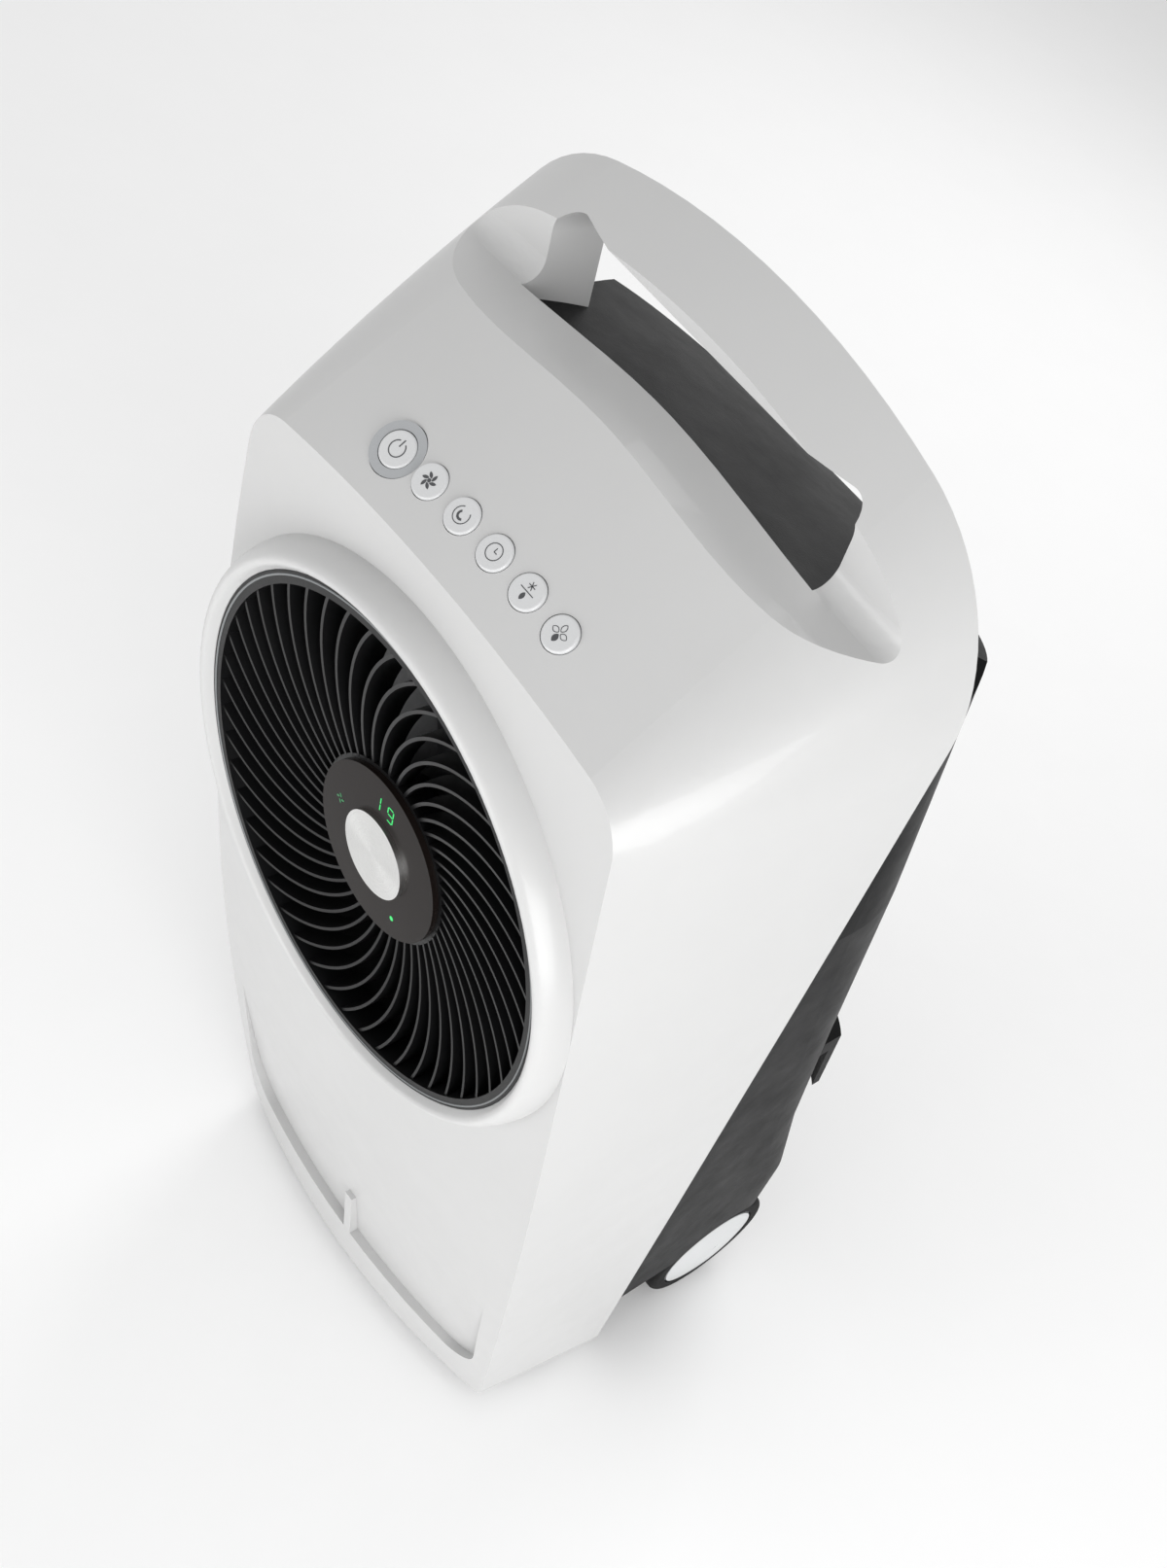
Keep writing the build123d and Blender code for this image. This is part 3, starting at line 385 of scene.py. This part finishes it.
def bar(length, width, x=0.0, y=0.0, turn=0.0):
    """A flat bar with rounded corners."""
    alone()
    bpy.ops.mesh.primitive_plane_add(size=1, location=(x, y, 0), rotation=(0, 0, math.radians(turn)))
    made = bpy.context.object
    made.scale = (length, width, 1)
    bpy.ops.object.transform_apply(location=True, rotation=True, scale=True)
    bpy.ops.object.mode_set(mode="EDIT")
    bpy.ops.mesh.bevel(offset=width * 0.4, segments=2, affect="VERTICES")
    bpy.ops.object.mode_set(mode="OBJECT")
    parts_of_print.append(made)
    return made


def petal(length, width, x=0.0, y=0.0, turn=0.0, line=0.0):
    """A leaf: a circle squeezed to an oval with pointed ends, solid or as a line of the width given."""
    alone()
    bpy.ops.mesh.primitive_circle_add(vertices=LEAF_CORNERS, radius=0.5, fill_type="NOTHING")
    leaf = bpy.context.object
    for point in leaf.data.vertices:
        point.co.y *= max(0.0, 1 - (2 * point.co.x) ** 2) ** 0.35
    bpy.ops.object.mode_set(mode="EDIT")
    if line:
        bpy.ops.mesh.extrude_region_move()
        inside = (1 - line / length, 1 - line / width, 1)
        bpy.ops.transform.resize(value=inside, center_override=(0, 0, 0))
    else:
        bpy.ops.mesh.edge_face_add()
    bpy.ops.object.mode_set(mode="OBJECT")
    leaf.scale, leaf.rotation_euler = (length, width, 1), (0, 0, math.radians(turn))
    leaf.location = (x, y, 0)
    bpy.ops.object.transform_apply(location=True, rotation=True, scale=True)
    parts_of_print.append(leaf)


def around(count, radius):
    """For each of a ring of shapes: its turn in degrees, and its x and y."""
    for step in range(count):
        turn = 360 / count * step
        yield turn, radius * math.cos(math.radians(turn)), radius * math.sin(math.radians(turn))


print("a print is", PRINT, "m thick")

# %% [markdown]
# A finished piece gets its name, its material and the body it moves with. A print is drawn at the origin, so it
# is also given its thickness and carried to its place.


# %% Dress a piece and lay a print
def dress(made, name, material, body):
    """Names a finished piece, gives it its finish and lets it ride."""
    made.name = made.data.name = name
    made.data.materials.clear()
    made.data.materials.append(material)
    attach(made, body)


def lay(name, matrix, material, body, thickness=PRINT):
    """Joins what was drawn, gives it its thickness, and lays it on the place that the matrix gives."""
    alone(*parts_of_print)
    bpy.ops.object.join()
    made = bpy.context.object
    parts_of_print.clear()
    bpy.ops.object.mode_set(mode="EDIT")
    bpy.ops.mesh.select_all(action="SELECT")
    bpy.ops.mesh.remove_doubles(threshold=1e-6)
    bpy.ops.mesh.normals_make_consistent(inside=False)
    bpy.ops.mesh.extrude_region_move(TRANSFORM_OT_translate={"value": (0, 0, thickness)})
    bpy.ops.mesh.select_all(action="SELECT")
    bpy.ops.mesh.normals_make_consistent(inside=False)
    bpy.ops.object.mode_set(mode="OBJECT")
    made.matrix_world = matrix
    bpy.ops.object.transform_apply(location=True, rotation=True, scale=True)
    dress(made, name, material, body)


# %% [markdown]
# The control panel slopes, and each key is pushed square to it. The outer face of a key is where its points
# reach furthest against the push, and the print lies on the middle of that face.

# %% Where the keys' faces are
PUSH = Vector((0, -0.61195, 0.7909))
ACROSS = Vector((1, 0, 0))
UP_PANEL = PUSH.cross(ACROSS)
FACE_DEPTH = 0.2 * MM


def key_place(node):
    """The middle of a key's outer face, as a matrix with the print's own X, Y and Z."""
    corners = [v.co for v in frame["nodes"][node].data.vertices]
    height = max(c.dot(PUSH) for c in corners)
    face = [c for c in corners if c.dot(PUSH) > height - FACE_DEPTH]
    rows = [c.dot(UP_PANEL) for c in face]
    x = (min(c.x for c in face) + max(c.x for c in face)) / 2
    centre = ACROSS * x + UP_PANEL * ((min(rows) + max(rows)) / 2) + PUSH * (height - PRINT * 0.4)
    return Matrix.Translation(centre) @ Matrix((ACROSS, UP_PANEL, PUSH)).transposed().to_4x4()


print("up the panel", tuple(round(v, 3) for v in UP_PANEL))

# %% [markdown]
# The six prints, from left to right: the power sign, a small fan for the speed, a moon in a ring for the
# night setting, a clock face for the timer, a snow crystal over a drop for cooling, and four leaves for the
# breeze.


# %% Print the keys
def print_key(name, key):
    """Lays what was drawn on the key, as a print that moves with it."""
    lay("print_" + name, key_place("button_" + key), finish["icon_grey"], "key_" + key)


THIN = 0.35 * MM

band(3.6 * MM, 0.45 * MM, 115, 310)
bar(3.4 * MM, 0.5 * MM, 0, 2.6 * MM, 90)
print_key("power", "power")

for turn, x, y in around(6, 2.1 * MM):
    petal(2.9 * MM, 1.3 * MM, x, y, turn + 28)
band(0.8 * MM, 0.75 * MM)
print_key("speed", "speed")

band(3.6 * MM, THIN, 110, 300)
band(2.1 * MM, 0.9 * MM, 130, 190, 0.2 * MM, 0)
print_key("night", "night")

band(3.5 * MM, THIN)
bar(1.9 * MM, THIN, 0, 0.85 * MM, 90)
bar(1.6 * MM, THIN, 0.7 * MM, 0, 0)
print_key("timer", "timer")

for arm in range(3):
    bar(3.4 * MM, THIN, 0, 2.5 * MM, 60 * arm)
bar(7.0 * MM, THIN)
petal(3.2 * MM, 1.9 * MM, 0, -2.3 * MM, 90)
print_key("cooling", "mode")

for leaf, (turn, x, y) in enumerate(around(4, 2.2 * MM)):
    petal(3.4 * MM, 2.4 * MM, x, y, turn, 0 if leaf == 3 else 0.6 * MM)
print_key("breeze", "breeze")
print("keys printed")

# %% [markdown]
# Behind the dark lens the display shows a green number, a small sign and a square lamp. Real lamps sit
# behind the lens; here each lit shape lies a hair proud of it, so that it reads at any angle.


# %% Lit display
def lit(name, color, strength):
    """A lamp behind a lens: a glow that is uneven over its face."""
    made, tree, shader = blank(name)
    where = put(tree, "ShaderNodeTexCoord")
    blotch = put(tree, "ShaderNodeTexNoise", {"Scale": 900.0})
    dimmer = tuple(c * 0.6 for c in color)
    tint = put(tree, "ShaderNodeMixRGB", {"Color1": (*dimmer, 1), "Color2": (*color, 1)})
    shader.inputs["Emission Strength"].default_value = strength
    shader.inputs["Roughness"].default_value = 0.3
    join(tree, (where.outputs["Object"], blotch.inputs["Vector"]),
         (blotch.outputs["Fac"], tint.inputs["Fac"]), (tint.outputs[0], shader.inputs["Emission Color"]),
         (tint.outputs[0], shader.inputs["Base Color"]))
    return made


glow = lit("lamp_green", (0.02, 0.55, 0.12), 0.75)
dim_glow = lit("lamp_green_dim", (0.01, 0.16, 0.05), 0.35)
lens_low, lens_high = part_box("display_lens")
GRILLE_MIDDLE = Vector((0, 0, (lens_low.z + lens_high.z) / 2))


def hub_place(x, z):
    """A place on the lens, x to the right and z up from its middle, in metres."""
    spot = Vector((x, lens_low.y - PRINT * 0.2, GRILLE_MIDDLE.z + z))
    facing = Matrix((Vector((1, 0, 0)), Vector((0, 0, 1)), Vector((0, -1, 0)))).transposed().to_4x4()
    return Matrix.Translation(spot) @ facing


SEGMENT, SEGMENT_WIDTH = 3.2 * MM, 0.6 * MM
FIGURE_SIDE, FIGURE_UP = 4.6 * MM, 29 * MM


def digit(name, segments, x, z):
    """A figure from seven bars: a top, b and c right, d bottom, e and f left, g middle."""
    half = SEGMENT / 2 + 0.3 * MM
    layout = {"a": (0, 2 * half, 0), "g": (0, 0, 0), "d": (0, -2 * half, 0),
              "b": (half, half, 90), "c": (half, -half, 90),
              "f": (-half, half, 90), "e": (-half, -half, 90)}
    for letter in segments:
        bx, by, turn = layout[letter]
        bar(SEGMENT, SEGMENT_WIDTH, bx, by, turn)
    lay(name, hub_place(x, z), glow, "body")


digit("figure_tens", "bc", -FIGURE_SIDE, FIGURE_UP)
digit("figure_ones", "abcdfg", FIGURE_SIDE, FIGURE_UP)
bar(2.4 * MM, 2.4 * MM)
lay("lamp_square", hub_place(17 * MM, -26 * MM), glow, "body")
for turn, x, y in around(4, 1.7 * MM):
    petal(2.4 * MM, 1.1 * MM, x, y, turn + 30)
lay("lamp_breeze", hub_place(-29 * MM, 6 * MM), dim_glow, "body")
print("display lit")

# %% [markdown]
# The hub's side wall is ribbed, like the edge of a coin, so that light breaks up on it. One rib is an
# eight-sided rod with its edges bevelled, and it is copied round the hub, each copy with its own mesh.


# %% Ribs round the hub
def round_the_grille(made, count):
    """Copies a piece around the grille's axis and joins the copies into it."""
    copies = [made]
    to_axis, back = Matrix.Translation(-GRILLE_MIDDLE), Matrix.Translation(GRILLE_MIDDLE)
    for step in range(1, count):
        alone(made)
        bpy.ops.object.duplicate()
        copy = bpy.context.object
        turn = Matrix.Rotation(math.radians(step * 360 / count), 4, "Y")
        copy.data.transform(back @ turn @ to_axis)
        copies.append(copy)
    alone(*copies)
    bpy.ops.object.join()
    return bpy.context.object


HUB_RADIUS = (lens_high.x - lens_low.x) / 2
RIB_COUNT, RIB_LENGTH, RIB_WIDTH, RIB_EDGE = 90, 9 * MM, 1.3 * MM, 0.3 * MM
RIB_BEHIND_LENS, RIB_OUTSIDE_LENS = 0.5 * MM, 1.4 * MM
rib_y = lens_high.y + RIB_LENGTH / 2 + RIB_BEHIND_LENS
rib_z = GRILLE_MIDDLE.z + HUB_RADIUS + RIB_OUTSIDE_LENS
alone()
bpy.ops.mesh.primitive_cylinder_add(vertices=8, radius=RIB_WIDTH / 2, depth=RIB_LENGTH,
                                    rotation=(math.pi / 2, 0, 0), location=(0, rib_y, rib_z))
rib = bpy.context.object
bpy.ops.object.transform_apply(location=True, rotation=True, scale=True)
bpy.ops.object.mode_set(mode="EDIT")
bpy.ops.mesh.bevel(offset=RIB_EDGE, segments=1)
bpy.ops.object.mode_set(mode="OBJECT")
dress(round_the_grille(rib, RIB_COUNT), "hub_ribs", finish["grille_black"], "body")
print("ribs", RIB_COUNT)

# %% [markdown]
# Tanks of this kind often have a window at the back, so that the water can be read from outside. The picture
# doesn't show the back, so this one is a guess. It is a plain grey pane with rounded ends, sunk a little into
# the drawer's sloping face, and it rides on the tank. The two points are that face's low and high end.

# %% Water window
WINDOW_X, WINDOW_LENGTH, WINDOW_WIDTH, WINDOW_DEPTH = 0.086, 44 * MM, 10 * MM, 1.2 * MM
WINDOW_DROP, WINDOW_SUNK = 6 * MM, WINDOW_DEPTH * 0.6
FACE_LOW, FACE_HIGH = Vector((WINDOW_X, 0.143, 0.145)), Vector((WINDOW_X, 0.1277, 0.219))

leftwards = Vector((-1, 0, 0))
face_up = (FACE_HIGH - FACE_LOW).normalized()
face_out = leftwards.cross(face_up).normalized()
window_middle = (FACE_LOW + FACE_HIGH) / 2 - face_up * WINDOW_DROP - face_out * WINDOW_SUNK
window_turn = Matrix((leftwards, face_up, face_out)).transposed().to_4x4()


def pane(length, width):
    """An upright flat pane with rounded ends, drawn as a bar whose corners are bevelled a second time."""
    alone(bar(length, width, turn=90))
    bpy.ops.object.mode_set(mode="EDIT")
    bpy.ops.mesh.select_all(action="SELECT")
    bpy.ops.mesh.bevel(offset=width * 0.08, segments=2, affect="VERTICES")
    bpy.ops.object.mode_set(mode="OBJECT")


pane(WINDOW_LENGTH, WINDOW_WIDTH)
lay("tank_window", Matrix.Translation(window_middle) @ window_turn, finish["grey_plastic"], "tank",
    WINDOW_DEPTH)
print("window faces", tuple(round(v, 2) for v in face_out))

# %% [markdown]
# A fine grey line runs round the grille's outer ring: it is light caught on the shiny edge of the moulding. A
# thin grey ring laid on the front of the grille is a painted highlight for it, with about half of it inside the
# moulding.

# %% Painted highlight round the grille
HIGHLIGHT_INSET, HIGHLIGHT_HALF_WIDTH, HIGHLIGHT_PROUD = 1.6 * MM, 0.45 * MM, 0.05 * MM
grille_low, grille_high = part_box("vane_grille")
highlight_radius = grille_high.x - HIGHLIGHT_INSET
alone()
bpy.ops.mesh.primitive_torus_add(major_radius=highlight_radius, minor_radius=HIGHLIGHT_HALF_WIDTH, major_segments=144,
                                 minor_segments=8, rotation=(math.pi / 2, 0, 0),
                                 location=(0, grille_low.y - HIGHLIGHT_PROUD, GRILLE_MIDDLE.z))
bpy.ops.object.transform_apply(location=True, rotation=True, scale=True)
# The ring's grey is a painted highlight for the shine on the edge, not the grille's own colour.
dress(bpy.context.object, "grille_edge_painted_highlight", finish["grey_plastic"], "body")
print("line at", round(highlight_radius, 4))
